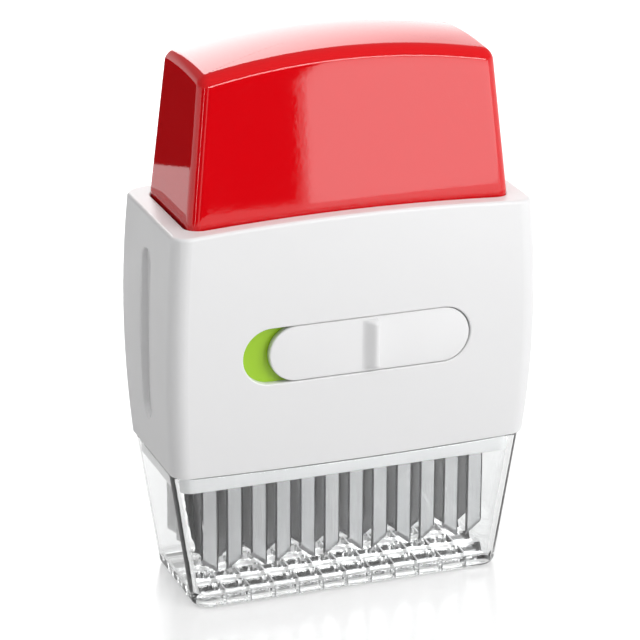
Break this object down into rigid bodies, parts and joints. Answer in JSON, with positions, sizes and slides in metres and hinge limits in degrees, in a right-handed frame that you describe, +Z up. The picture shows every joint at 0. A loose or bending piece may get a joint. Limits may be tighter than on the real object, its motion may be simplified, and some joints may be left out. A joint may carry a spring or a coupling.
{
  "type": "blade meat tenderizer",
  "caption": "Push-handle blade meat tenderizer: barrel-sided sleeve with slide lock, rows of slanted blades behind a slotted clear guard.",
  "frame": {"origin": "centre of the guard's flat foot, the face that rests on the meat", "axes": "+Z up through the handle, +X across the width, -Y the side with the lock slider"},
  "size_m": [0.1022, 0.0478, 0.1474],
  "materials": {
    "white_plastic": "satin moulded",
    "red_plastic": "gloss",
    "green_plastic": "satin",
    "clear_plastic": "clear gloss",
    "grey_plastic": "satin moulded",
    "blade_steel": "polished strip",
    "spring_steel": "bright drawn",
    "screw_steel": "zinc plated"
  },
  "bodies": {
    "sleeve": {"housing": "white_plastic", "neck_frame": "white_plastic", "blade_guard": "clear_plastic", "lock_indicator": "green_plastic", "guide_post_left": "spring_steel", "guide_post_right": "spring_steel", "return_spring_left": "spring_steel", "return_spring_right": "spring_steel"},
    "handle": {"handle_cap": "red_plastic", "drive_core": "grey_plastic", "blade_clamp": "grey_plastic", "blade_comb": "grey_plastic", "blade_row_1": "blade_steel", "blade_row_2": "blade_steel", "blade_row_3": "blade_steel", "blade_row_4": "blade_steel", "cap_screws": "screw_steel", "column_screws": "screw_steel", "comb_screws": "screw_steel"},
    "lock": {"lock_slider": "white_plastic", "lock_bolt": "grey_plastic", "lock_screw": "screw_steel"}
  },
  "joints": [
    {"name": "handle_press", "type": "slide", "parent": "sleeve", "child": "handle", "axis": [0, 0, -1], "range_m": [0, 0.0265], "stiffness_N_per_m": 2100, "springref_m": -0.006, "deforming": ["return_spring_left", "return_spring_right"]},
    {"name": "lock_slide", "type": "slide", "parent": "sleeve", "child": "lock", "axis": [-1, 0, 0], "range_m": [0, 0.007]}
  ]
}
